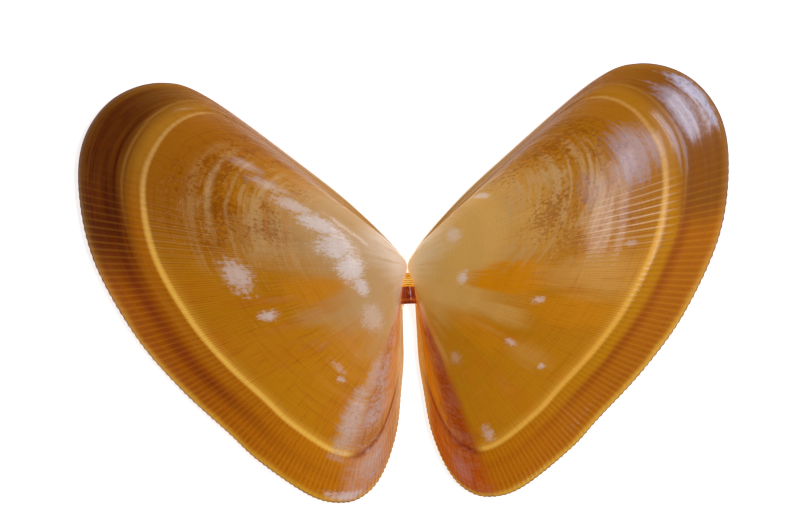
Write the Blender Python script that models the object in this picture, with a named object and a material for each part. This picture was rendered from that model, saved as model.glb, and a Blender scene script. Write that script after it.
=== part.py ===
# A wedge clam shell, opened flat: the two valves lie hollow side down, still joined by the
# ligament behind their beaks. One valve is grown from its margin by the spiral that a clam
# follows, and the other is its mirror image. Metres, +Z up, +Y towards the long front ends,
# the origin on the resting plane under the middle of the pair.

import math

import bmesh
import bpy
import numpy as np

MM = 0.001

# Driving dimensions
VALVE_LENGTH = 35.0 * MM        # longest straight measure across one valve
BEAK_OFFSET = 0.66 * MM         # coiling axis of a valve to the plane between the valves
GROWTH_RATE = 1.5               # a ring shrinks by exp(-rate) for each radian it has turned
EDGE_HEIGHT = 0.35 * MM         # thickness of the shell's edge, the foot of the coiling axis
EDGE_ROUNDING = 0.10 * MM       # how far the foot of the edge is drawn in
WALL = 0.62 * MM                # wall above the rim, straight up
WALL_GAIN = 0.30 * MM           # what the wall gains by the deepest place
RIM_WIDTH = 0.85 * MM           # least width of the flat rim that it rests on
HINGE_RIM_WIDTH = 0.40 * MM     # rim beside the beak, behind the hinge plate
HINGE_PLATE_WIDTH = 2.0 * MM    # the hinge plate, from the edge of the shell
HINGE_PLATE_HEIGHT = 0.60 * MM  # how far that plate is sunk above the resting plane
HINGE_PLATE_REACH = 4.8 * MM    # half its length, along the hinge line
TOOTH_CLEARANCE = 0.12 * MM     # how far the hinge teeth stay above the resting plane
TOOTH_THICKNESS = 0.38 * MM
TOOTH_TAPER = 0.6               # size of a tooth's tip against its root
TOOTH_ROOT = 0.30 * MM          # how deep a tooth's root goes into the plate

PLATE_STEP = 0.12 * MM          # run of the small banks at the rim and the plate
LEAST_RISE = 0.01 * MM          # the least that each ring of the hollow rises above the last
RIM_SEARCH = 0.05 * MM          # step by which the rim is widened until the shell is high enough
RIM_SEARCH_STEPS = 60

LOOP_SAMPLES = 66               # points round each growth ring
INNER_STEPS = 7                 # rings of the hollow between the rim and its deepest place
LAST_SHARE = 0.93               # how far in the last of them is
DEEPEST = (8.6, -1.4)           # plan place of the deepest point, on the outline's scale

# Outline of a valve about its coiling point, on the scale of a 35 mm valve: (away from the
# hinge, along the hinge towards the front). A smooth closed curve passes through the points.
OUTLINE_LENGTH = 35.0
OUTLINE = (
    (2.8, 4.5), (6.5, 7.8), (13.6, 13.4), (17.2, 14.7), (20.7, 13.7), (23.0, 10.9),     # front
    (23.6, 7.0), (22.7, 1.7), (19.9, -3.9), (16.7, -8.0), (13.2, -11.5), (11.0, -13.7),   # lower edge
    (7.3, -16.4), (4.8, -17.0), (3.0, -16.3), (1.7, -14.6), (0.7, -11.8),               # back end
    (0.26, -8.8), (0.0, -6.6), (-0.05, -4.4), (-0.10, -2.2), (-0.28, -0.4), (-0.12, 1.2),  # hinge
)

DEEPEST_PLAN = np.array(DEEPEST) * VALVE_LENGTH / OUTLINE_LENGTH

# Growth rings, as shares of the full size, from the edge to the beak
RING_SIZES = (1.0, 0.965, 0.925, 0.885, 0.862, 0.850, 0.824, 0.806, 0.796, 0.77, 0.72, 0.66,
              0.60, 0.53, 0.46, 0.39, 0.32, 0.26, 0.205, 0.155, 0.11, 0.075, 0.045)
# Pauses in growth: (size, ledge height in metres). The older shell stands proud of the newer.
GROWTH_PAUSES = ((0.80, 0.11 * MM), (0.856, 0.05 * MM), (0.625, 0.04 * MM), (0.425, 0.03 * MM))
LEDGE_RISE = 0.06               # share of size over which a ledge builds up
LEDGE_DROP = 0.008              # share of size over which it falls away

KEEL_DIRECTION = math.radians(155.0)    # the blunt keel, from the front of the hinge line
KEEL_SPREAD = math.radians(9.0)
KEEL_HEIGHT = 0.30 * MM

# Hinge teeth: (away from the hinge, along it, length, turn from the hinge line in degrees), in
# millimetres from the coiling point. Two stand under the beak, and one long one on each side.
TEETH = ((1.05, 0.55, 1.10, 62.0), (0.95, -0.55, 1.00, 112.0), (1.75, 2.95, 1.90, 40.0),
         (1.05, -3.30, 1.80, -4.0))

# Ligament: (along the hinge from the beak, half width, foot, crest), in millimetres
LIGAMENT_SECTIONS = (
    (-0.90, 0.08, 0.60, 0.95), (-1.15, 0.15, 0.42, 1.20), (-1.45, 0.20, 0.32, 1.30),
    (-1.60, 0.22, 0.30, 1.24), (-1.75, 0.25, 0.28, 1.32), (-2.05, 0.27, 0.27, 1.28),
    (-2.30, 0.27, 0.28, 1.15), (-2.45, 0.23, 0.35, 0.95),
)
LIGAMENT_SIDES = 12


def smooth_loop(points, steps):
    # Catmull-Rom curve through a closed ring of points
    points = np.array(points, dtype=float)
    before, after, beyond = (np.roll(points, shift, axis=0) for shift in (1, -1, -2))
    rows = []
    for step in range(steps):
        t = step / steps
        rows.append(0.5 * (2 * points + (after - before) * t
                           + (2 * before - 5 * points + 4 * after - beyond) * t ** 2
                           + (3 * points - before - 3 * after + beyond) * t ** 3))
    return np.stack(rows, axis=1).reshape(-1, 2)


def margin_loop(samples):
    # The edge of a valve as evenly useful points: closer where the outline turns
    fine = smooth_loop(OUTLINE, 24) * VALVE_LENGTH / OUTLINE_LENGTH
    forward = np.roll(fine, -1, axis=0) - fine
    length = np.linalg.norm(forward, axis=1)
    heading = np.unwrap(np.arctan2(forward[:, 1], forward[:, 0]))
    turning = np.abs(np.diff(heading, append=heading[0] + math.copysign(2 * math.pi, heading[-1])))
    cost = length / length.sum() + 0.5 * turning / turning.sum()
    reached = np.concatenate(([0.0], np.cumsum(cost)))
    closed = np.vstack((fine, fine[:1]))
    wanted = np.arange(samples) * reached[-1] / samples
    return np.stack([np.interp(wanted, reached, closed[:, axis]) for axis in (0, 1)], axis=1)


MARGIN = margin_loop(LOOP_SAMPLES)
FINE_MARGIN = margin_loop(LOOP_SAMPLES * 8)
BEAK_ALONG = -0.5 * (FINE_MARGIN[:, 1].max() + FINE_MARGIN[:, 1].min())   # centres the pair
MARGIN_DIRECTION = np.arctan2(FINE_MARGIN[:, 0], FINE_MARGIN[:, 1]) % (2 * math.pi)
MARGIN_ORDER = np.argsort(MARGIN_DIRECTION)


def margin_radius(direction):
    # Distance from the coiling point to the edge, in a direction from the front of the hinge
    radius = np.linalg.norm(FINE_MARGIN, axis=1)
    return np.interp(direction, MARGIN_DIRECTION[MARGIN_ORDER], radius[MARGIN_ORDER],
                     period=2 * math.pi)


def growth_turn(size):
    return -math.log(size) / GROWTH_RATE


def outer_height(across, along):
    # Height of the shell's outside above a plan place, found by turning the place outwards
    # along the spiral until it meets the edge
    across = np.maximum(across, 1e-6)
    low = np.zeros_like(across)
    high = np.full_like(across, 1.45)
    for _ in range(40):
        turn = 0.5 * (low + high)
        gain = np.exp(GROWTH_RATE * turn)
        grown_across = gain * across / np.cos(turn)
        grown_along = gain * along
        inside = (np.hypot(grown_across, grown_along)
                  < margin_radius(np.arctan2(grown_across, grown_along)))
        low = np.where(inside, turn, low)
        high = np.where(inside, high, turn)
    return EDGE_HEIGHT + across * np.tan(low)


def ledge(size):
    height = 0.0
    for pause, step in GROWTH_PAUSES:
        if size < pause:
            height += step * math.exp(-(pause - size) / LEDGE_RISE)
        elif size < pause + LEDGE_DROP:
            height += step * (1 - (size - pause) / LEDGE_DROP)
    return height


def outer_rings():
    # The outside as growth rings, pushed out along the surface for the ledges and the keel
    across, along = MARGIN[:, 0], MARGIN[:, 1]
    rings = []
    for size in RING_SIZES:
        turn = growth_turn(size)
        rings.append(np.stack((size * across * math.cos(turn), size * along,
                               EDGE_HEIGHT + size * across * math.sin(turn)), axis=1))
    rings = np.array(rings)
    inwards = np.gradient(rings, axis=0)
    around = np.roll(rings, -1, axis=1) - np.roll(rings, 1, axis=1)
    outwards = np.cross(inwards, around)
    outwards /= np.linalg.norm(outwards, axis=2, keepdims=True)
    direction = np.arctan2(across, along)
    keel = KEEL_HEIGHT * np.exp(-((direction - KEEL_DIRECTION) / KEEL_SPREAD) ** 2)
    for row, size in enumerate(RING_SIZES):
        swell = ledge(size) * min(1.0, (1 - size) / 0.05)
        keel_here = keel * size * min(1.0, (1 - size) / 0.25)
        rings[row] += outwards[row] * (swell + keel_here)[:, None]
    return rings


def hinge_share():
    # 1 along the hinge plate, falling to 0 round the rest of the edge
    beside_hinge = MARGIN[:, 0] < 0.12 * VALVE_LENGTH
    return np.exp(-(MARGIN[:, 1] / HINGE_PLATE_REACH) ** 4) * beside_hinge


def rim_width():
    # The flat rim is as wide as the shell needs for its outside to reach the wall's height
    width = np.full(len(MARGIN), RIM_WIDTH)
    inwards = DEEPEST_PLAN - MARGIN
    inwards /= np.linalg.norm(inwards, axis=1, keepdims=True)
    for _ in range(RIM_SEARCH_STEPS):
        place = MARGIN + inwards * width[:, None]
        thin = outer_height(place[:, 0], place[:, 1]) < WALL
        width = width + RIM_SEARCH * thin
    return width


def inner_rings():
    # The hollow: a flat rim, the hinge plate sunk behind it, then rings drawn in to the deepest
    # place, a wall below the outside
    inwards = DEEPEST_PLAN - MARGIN
    reach = np.linalg.norm(inwards, axis=1)
    plate = hinge_share()
    width = rim_width() * (1 - plate) + HINGE_RIM_WIDTH * plate
    plate_width = (width + PLATE_STEP) * (1 - plate) + HINGE_PLATE_WIDTH * plate
    flat = np.zeros(len(MARGIN))
    foot = MARGIN + inwards * (EDGE_ROUNDING / reach)[:, None]
    rim = MARGIN + inwards * (width / reach)[:, None]
    bank = MARGIN + inwards * ((width + PLATE_STEP) / reach)[:, None]
    edge = MARGIN + inwards * ((plate_width + PLATE_STEP) / reach)[:, None]
    sunk = HINGE_PLATE_HEIGHT * plate
    rings = [np.column_stack((foot, flat)), np.column_stack((rim, flat)),
             np.column_stack((bank, np.maximum(sunk, LEAST_RISE))),
             np.column_stack((edge, np.maximum(sunk, 3 * LEAST_RISE)))]
    for step in range(1, INNER_STEPS + 1):
        share = LAST_SHARE * (step / INNER_STEPS) ** 1.25
        place = edge + (DEEPEST_PLAN - edge) * share
        wall = WALL + WALL_GAIN * share
        height = outer_height(place[:, 0], place[:, 1]) - wall
        rings.append(np.column_stack((place, np.maximum(height, (4 + step) * LEAST_RISE))))
    return rings


def add_ring(mesh, ring, side):
    vertices = []
    for across, along, height in ring:
        vertices.append(mesh.verts.new((side * (BEAK_OFFSET + across), BEAK_ALONG + along, height)))
    return vertices


def bridge(mesh, first, second):
    count = len(first)
    for i in range(count):
        j = (i + 1) % count
        mesh.faces.new((first[i], first[j], second[j], second[i]))


def close_ring(mesh, ring, point):
    for i in range(len(ring)):
        mesh.faces.new((ring[i], ring[(i + 1) % len(ring)], point))


def finish_object(name, mesh, material, collection):
    bmesh.ops.triangulate(mesh, faces=mesh.faces[:])
    bmesh.ops.recalc_face_normals(mesh, faces=mesh.faces[:])
    data = bpy.data.meshes.new(name)
    mesh.to_mesh(data)
    mesh.free()
    data.shade_smooth()
    data.set_sharp_from_angle(angle=math.radians(35))
    data.materials.append(material)
    piece = bpy.data.objects.new(name, data)
    collection.objects.link(piece)
    return piece


def make_teeth(name, side, cutters):
    # Wedges that hang from the hinge plate; each is joined to the shell
    teeth = []
    for number, (across, along, length, turn) in enumerate(TEETH, start=1):
        top = HINGE_PLATE_HEIGHT + TOOTH_ROOT
        height = top - TOOTH_CLEARANCE
        mesh = bmesh.new()
        bmesh.ops.create_cube(mesh, size=1.0)
        for vertex in mesh.verts:
            taper = TOOTH_TAPER if vertex.co.z < 0 else 1.0
            vertex.co.x *= TOOTH_THICKNESS * taper
            vertex.co.y *= length * MM * taper
            vertex.co.z *= height
        data = bpy.data.meshes.new(f"{name}_tooth_{number}")
        mesh.to_mesh(data)
        mesh.free()
        tooth = bpy.data.objects.new(data.name, data)
        tooth.location = (side * (BEAK_OFFSET + across * MM), BEAK_ALONG + along * MM,
                          top - 0.5 * height)
        tooth.rotation_euler = (0.0, 0.0, -side * math.radians(turn))
        tooth.hide_render = True
        tooth.display_type = "WIRE"
        cutters.objects.link(tooth)
        teeth.append(tooth)
    return teeth


def make_valve(name, side, material, collection, cutters):
    mesh = bmesh.new()
    outside = [add_ring(mesh, ring, side) for ring in outer_rings()]
    inside = [add_ring(mesh, ring, side) for ring in inner_rings()]
    for rings in (outside, inside):
        for first, second in zip(rings, rings[1:]):
            bridge(mesh, first, second)
    bridge(mesh, outside[0], inside[0])
    tip = mesh.verts.new((side * BEAK_OFFSET, BEAK_ALONG, EDGE_HEIGHT + 0.1 * MM))
    close_ring(mesh, outside[-1], tip)
    depth = outer_height(DEEPEST_PLAN[:1], DEEPEST_PLAN[1:])[0] - WALL - WALL_GAIN
    deepest = mesh.verts.new((side * (BEAK_OFFSET + DEEPEST_PLAN[0]),
                              BEAK_ALONG + DEEPEST_PLAN[1], depth))
    close_ring(mesh, inside[-1], deepest)
    valve = finish_object(name, mesh, material, collection)
    for tooth in make_teeth(name, side, cutters):
        joined = valve.modifiers.new(tooth.name, "BOOLEAN")
        joined.operation = "UNION"
        joined.solver = "EXACT"
        joined.object = tooth
    return valve


def make_ligament(name, material, collection):
    # A short ridge of horny fibre in the gap behind the beaks
    mesh = bmesh.new()
    rings = []
    for along, half_width, foot, crest in LIGAMENT_SECTIONS:
        middle = 0.5 * (foot + crest)
        half_height = 0.5 * (crest - foot)
        ring = []
        for i in range(LIGAMENT_SIDES):
            angle = 2 * math.pi * i / LIGAMENT_SIDES
            ring.append(mesh.verts.new((half_width * math.cos(angle) * MM,
                                        BEAK_ALONG + along * MM,
                                        (middle + half_height * math.sin(angle)) * MM)))
        rings.append(ring)
    for first, second in zip(rings, rings[1:]):
        bridge(mesh, first, second)
    mesh.faces.new(rings[0])
    mesh.faces.new(rings[-1])
    return finish_object(name, mesh, material, collection)


def make_material(name, colour, roughness):
    material = bpy.data.materials.new(name)
    material.use_nodes = True
    shader = material.node_tree.nodes["Principled BSDF"]
    shader.inputs["Base Color"].default_value = (*colour, 1.0)
    shader.inputs["Roughness"].default_value = roughness
    shader.inputs["Metallic"].default_value = 0.0
    return material


def main():
    for old in list(bpy.data.objects):
        bpy.data.objects.remove(old)
    collection = bpy.data.collections.new("wedge_clam_shell")
    cutters = bpy.data.collections.new("hinge_teeth")
    for group in (collection, cutters):
        bpy.context.scene.collection.children.link(group)
    for name, side, colour in (("left_valve", -1, (0.40, 0.17, 0.03)),
                               ("right_valve", 1, (0.46, 0.21, 0.04))):
        make_valve(name, side, make_material(f"{name}_shell", colour, 0.35), collection, cutters)
    make_ligament("ligament", make_material("horny_ligament", (0.20, 0.05, 0.02), 0.30), collection)


main()
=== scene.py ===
import math

import bmesh
import bpy
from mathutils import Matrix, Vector


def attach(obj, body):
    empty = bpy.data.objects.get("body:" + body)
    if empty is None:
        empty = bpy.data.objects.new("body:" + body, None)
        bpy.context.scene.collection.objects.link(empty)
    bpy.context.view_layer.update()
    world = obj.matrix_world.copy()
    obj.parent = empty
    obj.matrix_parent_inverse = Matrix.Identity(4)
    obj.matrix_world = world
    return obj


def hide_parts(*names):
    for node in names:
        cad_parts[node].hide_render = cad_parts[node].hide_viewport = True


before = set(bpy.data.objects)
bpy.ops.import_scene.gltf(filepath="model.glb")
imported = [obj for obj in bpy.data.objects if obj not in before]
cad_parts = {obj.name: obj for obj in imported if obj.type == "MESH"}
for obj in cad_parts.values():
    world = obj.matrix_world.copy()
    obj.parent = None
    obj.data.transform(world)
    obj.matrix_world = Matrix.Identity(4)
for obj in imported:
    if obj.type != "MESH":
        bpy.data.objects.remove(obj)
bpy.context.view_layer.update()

mm = 0.001

# what the shell was drawn from: one valve's edge about its coiling point, in millimetres of a
# 35 mm valve, away from the hinge and along it; a closed Catmull-Rom curve starts at the beak
edgeOutline = [
    (-0.28, -0.4), (-0.12, 1.2), (2.8, 4.5), (6.5, 7.8), (13.6, 13.4), (17.2, 14.7),
    (20.7, 13.7), (23.0, 10.9), (23.6, 7.0), (22.7, 1.7), (19.9, -3.9), (16.7, -8.0),
    (13.2, -11.5), (11.0, -13.7), (7.3, -16.4), (4.8, -17.0), (3.0, -16.3), (1.7, -14.6),
    (0.7, -11.8), (0.26, -8.8), (0.0, -6.6), (-0.05, -4.4), (-0.10, -2.2),
]
valveShape = {
    "beakOffset": 0.555 * mm,      # coiling axis to the plane between the valves
    "beakAlong": 1.15 * mm,        # the same axis, along the hinge line from the middle
    "growthRate": 1.5,             # a ring shrinks by exp(-rate) for each radian it has turned
    "edgeHeight": 0.35 * mm,
    "wall": 0.62 * mm,
    "wallGain": 0.30 * mm,
    "deepestAcross": 8.6 * mm,
    "deepestAlong": -1.4 * mm,
    "ribs": 168,                   # all round, the smooth dorsal side included
    "ribHeight": 0.050 * mm,       # at the edge; on the disc the ribs are nearly flat
    "ribPull": 0.24,               # how much closer the ribs stand at the back end
    "ribPullAt": 0.74,
    "rimWidth": 0.85 * mm,
    "plateWidth": 2.0 * mm,
    "plateHeight": 0.60 * mm,
    "plateReach": 4.8 * mm,
    "ringSize": 0.795,             # the strong growth ring, as a share of full size
}
meshGrid = {"samplesPerRib": 4, "innerRows": 44, "lipRows": 3, "outerRows": 96}


class Value:
    # one socket, so that node maths can be written as plain expressions
    def __init__(self, flow, socket):
        self.flow = flow
        self.socket = socket

    def math(self, operation, *others, clamp=False):
        sockets = {0: self}
        for place, other in enumerate(others, start=1):
            sockets[place] = other
        return self.flow.node("ShaderNodeMath", {"operation": operation, "use_clamp": clamp}, sockets)

    def __add__(self, other):
        return self.math("ADD", other)

    def __sub__(self, other):
        return self.math("SUBTRACT", other)

    def __mul__(self, other):
        return self.math("MULTIPLY", other)

    def __truediv__(self, other):
        return self.math("DIVIDE", other)

    def __pow__(self, other):
        return self.math("POWER", other)

    def __neg__(self):
        return self.math("MULTIPLY", -1.0)

    __radd__ = __add__
    __rmul__ = __mul__

    def __rsub__(self, other):
        return self.flow.reversedMath("SUBTRACT", other, self)

    def __rtruediv__(self, other):
        return self.flow.reversedMath("DIVIDE", other, self)


class Flow:
    # one node tree, for geometry or for a material
    def __init__(self, tree):
        self.tree = tree
        self.last = None

    def node(self, kind, settings=None, sockets=None, out=0):
        made = self.tree.nodes.new(kind)
        for name, value in (settings or {}).items():
            if name == "stops":
                self.fillRamp(made.color_ramp, value)
            else:
                setattr(made, name, value)
        for name, value in (sockets or {}).items():
            self.feed(made.inputs[name], value)
        self.last = made
        return Value(self, made.outputs[out]) if made.outputs else None

    def feed(self, socket, value):
        if isinstance(value, Value):
            self.tree.links.new(value.socket, socket)
        else:
            socket.default_value = value

    def fillRamp(self, ramp, stops):
        while len(ramp.elements) > 1:
            ramp.elements.remove(ramp.elements[-1])
        ramp.elements[0].position = stops[0][0]
        ramp.elements[0].color = (*stops[0][1], 1.0)
        for place, colour in stops[1:]:
            ramp.elements.new(place).color = (*colour, 1.0)

    def output(self, name):
        return Value(self, self.last.outputs[name])

    def reversedMath(self, operation, number, value):
        return self.node("ShaderNodeMath", {"operation": operation}, {0: number, 1: value})

    def parts(self, vector):
        self.node("ShaderNodeSeparateXYZ", {}, {0: vector})
        return self.output("X"), self.output("Y"), self.output("Z")

    def vector(self, x, y, z):
        return self.node("ShaderNodeCombineXYZ", {}, {"X": x, "Y": y, "Z": z})

    def vectorMath(self, operation, first, second=None, scale=None, out=0):
        sockets = {0: first}
        if second is not None:
            sockets[1] = second
        if scale is not None:
            sockets["Scale"] = scale
        return self.node("ShaderNodeVectorMath", {"operation": operation}, sockets, out)

    def step(self, value, low, high, toLow=0.0, toHigh=1.0):
        return self.node("ShaderNodeMapRange", {"interpolation_type": "SMOOTHSTEP"},
                         {"Value": value, "From Min": low, "From Max": high,
                          "To Min": toLow, "To Max": toHigh})

    def bump(self, value, middle, width):
        # a smooth hill: 1 at the middle, 0 beyond the width on either side
        return self.step((value - middle).math("ABSOLUTE"), 0.0, width, 1.0, 0.0)

    def noise(self, where, scale, detail=2.0, roughness=0.5, dimensions="3D", distortion=0.0):
        return self.node("ShaderNodeTexNoise", {"noise_dimensions": dimensions},
                         {"Vector": where, "Scale": scale, "Detail": detail,
                          "Roughness": roughness, "Distortion": distortion})

    def keep(self, geometry, fields):
        # hold fields on the points as they are now, before the points move
        made = self.tree.nodes.new("GeometryNodeCaptureAttribute")
        for name in fields:
            made.capture_items.new("FLOAT", name)
        self.feed(made.inputs["Geometry"], geometry)
        for name, value in fields.items():
            self.feed(made.inputs[name], value)
        self.last = made
        return [Value(self, made.outputs["Geometry"])] + [self.output(name) for name in fields]

    def mixColour(self, factor, first, second, blend="MIX"):
        return self.node("ShaderNodeMix", {"data_type": "RGBA", "blend_type": blend},
                         {0: factor, 6: first, 7: second}, out=2)


def rgb(red, green, blue):
    # a colour as it looks on screen, made linear
    linear = []
    for value in (red, green, blue):
        share = value / 255.0
        linear.append(share / 12.92 if share <= 0.04045 else ((share + 0.055) / 1.055) ** 2.4)
    return (*linear, 1.0)


def edgePoint(flow, curve, share):
    # a point of the valve's edge, with samples closer together where the ribs are finer
    s = valveShape
    turn = 2 * math.pi
    pulled = (share - s["ribPullAt"]) * turn
    start = math.sin(-s["ribPullAt"] * turn)
    length = share - (pulled.math("SINE") - start) * (s["ribPull"] / turn)
    place = flow.node("GeometryNodeSampleCurve", {"mode": "FACTOR", "data_type": "FLOAT"},
                      {"Curves": curve, "Factor": length.math("MINIMUM", 0.999999)}, out="Position")
    return place, length


def grownPoint(flow, edge, size):
    # the edge turned back along the growth spiral until it has shrunk to a given size
    s = valveShape
    across, along, unused = flow.parts(edge)
    turn = size.math("LOGARITHM", math.e) * (-1.0 / s["growthRate"])
    return flow.vector(across * size * turn.math("COSINE"), along * size,
                       across * size * turn.math("SINE") + s["edgeHeight"])


def outerSize(share):
    # growth rings from the edge to the beak, closer together towards the beak
    return ((1.0 - share) ** 1.12).math("MAXIMUM", 0.004)


def buildValveTree():
    # a grid is wrapped into a closed shell: hollow, rim, edge and domed outside in turn
    s = valveShape
    g = meshGrid
    tree = bpy.data.node_groups.new("valveGrowth", "GeometryNodeTree")
    face = tree.interface
    face.new_socket("Edge curve", in_out="INPUT", socket_type="NodeSocketGeometry")
    for name, kind, value in (("Side", "NodeSocketFloat", 1.0), ("Seed", "NodeSocketFloat", 0.0),
                              ("Rib height", "NodeSocketFloat", s["ribHeight"]),
                              ("Ledge height", "NodeSocketFloat", 0.085 * mm),
                              ("Shell", "NodeSocketMaterial", None)):
        socket = face.new_socket(name, in_out="INPUT", socket_type=kind)
        if value is not None:
            socket.default_value = value
    face.new_socket("Valve", in_out="OUTPUT", socket_type="NodeSocketGeometry")
    flow = Flow(tree)
    flow.node("NodeGroupInput")
    curve, side, seed = flow.output("Edge curve"), flow.output("Side"), flow.output("Seed")
    ribHeight, ledgeHeight, shell = (flow.output(name) for name in
                                     ("Rib height", "Ledge height", "Shell"))
    smooth = flow.node("GeometryNodeCurveSplineType", {"spline_type": "CATMULL_ROM"},
                       {"Curve": curve})
    smooth = flow.node("GeometryNodeSetSplineResolution", {}, {"Geometry": smooth,
                                                               "Resolution": 48})

    # a coarse dome, only to measure the height of the outside above a place
    flow.node("GeometryNodeMeshGrid", {}, {"Size X": 1.0, "Size Y": 1.0,
                                           "Vertices X": 241, "Vertices Y": 81})
    domeGrid = flow.output("Mesh")
    x, y, unused = flow.parts(flow.node("GeometryNodeInputPosition"))
    edge, unused = edgePoint(flow, smooth, x + 0.5)
    dome = flow.node("GeometryNodeSetPosition", {}, {
        "Geometry": domeGrid, "Position": grownPoint(flow, edge, outerSize(y + 0.5))})

    columns = s["ribs"] * g["samplesPerRib"]
    rows = g["innerRows"] + g["lipRows"] + g["outerRows"]
    flow.node("GeometryNodeMeshGrid", {}, {"Size X": 1.0, "Size Y": 1.0,
                                           "Vertices X": columns + 1, "Vertices Y": rows + 1})
    grid = flow.output("Mesh")
    x, y, unused = flow.parts(flow.node("GeometryNodeInputPosition"))
    grid, share, row = flow.keep(grid, {"share": x + 0.5, "row": ((y + 0.5) * rows).math("ROUND")})
    edge, length = edgePoint(flow, smooth, share)

    rib = (share * (2 * math.pi * s["ribs"])).math("COSINE")
    ribStrength = flow.noise(flow.vector(share * s["ribs"], seed, 0.0), 1.0, 1.0, 0.5) * 2.0
    ribbed = flow.step(length, 0.375, 0.47) * flow.step(length, 0.93, 0.86)
    size = outerSize(((row - (g["innerRows"] + g["lipRows"])) / g["outerRows"])
                     .math("MAXIMUM", 0.0))

    # hollow: drawn in from the edge to the deepest place, a wall below the dome
    deepest = Vector((s["deepestAcross"], s["deepestAlong"], 0.0))
    toDeepest = flow.vectorMath("SUBTRACT", tuple(deepest), edge)
    reach = flow.vectorMath("LENGTH", toDeepest, out="Value")
    inner = (row / g["innerRows"]).math("MINIMUM", 1.0)
    inset = (reach - 0.10 * mm) * ((1.0 - inner) ** 1.5) + 0.10 * mm
    place = flow.vectorMath("ADD", edge, flow.vectorMath("SCALE", toDeepest, scale=inset / reach))
    px, py, unused = flow.parts(place)
    flow.node("GeometryNodeRaycast", {"data_type": "FLOAT"}, {
        "Target Geometry": dome, "Source Position": flow.vector(px, py, 30 * mm),
        "Ray Direction": (0.0, 0.0, -1.0), "Ray Length": 1.0})
    above = flow.parts(flow.output("Hit Position"))[2]
    ceiling = above - (s["wall"] + s["wallGain"] * (inset / reach))
    edgeAcross, edgeAlong, unused = flow.parts(edge)
    plate = (flow.step(edgeAlong.math("ABSOLUTE"), s["plateReach"] * 1.25, s["plateReach"] * 0.7)
             * flow.step(edgeAcross, 5.0 * mm, 3.4 * mm))
    bank = (inset - s["rimWidth"]).math("MAXIMUM", 0.0) * 2.2
    shelf = (flow.step(inset, 0.35 * mm, 0.52 * mm) * s["plateHeight"]
             + (inset - s["plateWidth"]).math("MAXIMUM", 0.0) * 5.0)
    limit = bank * (1.0 - plate) + shelf * plate
    notches = (flow.bump(inset, 0.42 * mm, 0.42 * mm) * ribbed * (1.0 - plate)
               * (0.5 + 0.5 * rib) * (0.10 * mm))
    height = (ceiling.math("MINIMUM", limit) + notches).math("MAXIMUM", 0.0)
    hollow = flow.vector(px, py, height)

    # rounded edge, then the outside
    lip = ((row - g["innerRows"]) / g["lipRows"])
    ex, ey, unused = flow.parts(edge)
    lipPoint = flow.vector(ex, ey, lip * s["edgeHeight"] * 0.85 + 0.04 * mm)
    outside = grownPoint(flow, edge, size)
    onLip = flow.node("FunctionNodeCompare", {"data_type": "FLOAT", "operation": "GREATER_THAN"},
                      {"A": row, "B": g["innerRows"] + 0.5})
    onOutside = flow.node("FunctionNodeCompare", {"data_type": "FLOAT", "operation": "GREATER_THAN"},
                          {"A": row, "B": g["innerRows"] + g["lipRows"] - 0.5})
    atTip = flow.node("FunctionNodeCompare", {"data_type": "FLOAT", "operation": "GREATER_THAN"},
                      {"A": row, "B": rows - 0.5})
    form = switch(flow, "VECTOR", onLip, hollow, lipPoint)
    form = switch(flow, "VECTOR", onOutside, form, outside)
    form = switch(flow, "VECTOR", atTip, form, (0.0, 0.0, s["edgeHeight"] + 0.05 * mm))
    body = flow.node("GeometryNodeSetPosition", {}, {"Geometry": grid, "Position": form})

    # what the finish needs to know: rib count, size, distance round the edge; hollow or not
    growth = flow.vector(share, size, length)
    isHollow = 1.0 - flow.step(row, g["innerRows"] - 1.0, g["innerRows"] + 1.0)
    where = flow.vector(isHollow, inset * 1000.0, seed)
    for name, value in (("growth", growth), ("where", where)):
        body = flow.node("GeometryNodeStoreNamedAttribute",
                         {"data_type": "FLOAT_VECTOR", "domain": "CORNER"},
                         {"Geometry": body, "Name": name, "Value": value})

    # relief of the outside, along the surface: ribs, growth ledges, keel, fine growth lines
    ringAt = ringPlace(flow, length, share)
    lines = flow.noise(flow.vector(size * 46.0, length * 3.0, seed), 1.0, 3.0, 0.6)
    relief = (lines - 0.5) * (0.05 * mm)
    notFore = flow.step(length, 0.205, 0.265)
    for at, part in ((ringAt, 1.0), (ringAt + 0.058, 0.16), (ringAt + 0.125, 0.20),
                     (ringAt - 0.17, 0.22), (ringAt - 0.36, 0.18)):
        below = (at - size).math("MAXIMUM", 0.0)
        relief = relief + (ledgeHeight * part * (below * (-1 / 0.05)).math("EXPONENT")
                           * flow.step(size, at + 0.010, at) * notFore)
    waves = flow.noise(flow.vector(size * 17.0, seed * 3.0, length * 1.2), 1.0, 1.0, 0.4)
    relief = relief + (waves - 0.5) * (0.16 * mm)
    keel = flow.bump(length, 0.80, 0.075) * (0.30 * mm)
    relief = relief + keel * size * flow.step(size, 1.0, 0.75)
    nearEdge = flow.step(size, 1.0, 0.95)
    chips = flow.noise(flow.vector(length * 60.0, seed, 0.0), 1.0, 4.0, 0.65)
    chips = (chips - 0.62).math("MAXIMUM", 0.0) * (-0.9 * mm) * flow.step(size, 0.985, 1.0)
    ribs = rib * ribbed * ribHeight * ribStrength * (flow.step(size, 0.970, 0.998, 0.0, 0.40)
                                                     + flow.step(size, 0.70, 0.90, 0.06, 0.20))
    relief = (relief * (0.3 + 0.7 * nearEdge) + ribs + chips * ribbed) * (1.0 - isHollow)
    relief = relief * flow.step(length, 0.0, 0.01) * flow.step(length, 1.0, 0.99)
    normal = flow.node("GeometryNodeInputNormal")
    offset = flow.vectorMath("SCALE", normal, scale=relief)
    body = flow.node("GeometryNodeSetPosition", {}, {"Geometry": body, "Offset": offset})

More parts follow.
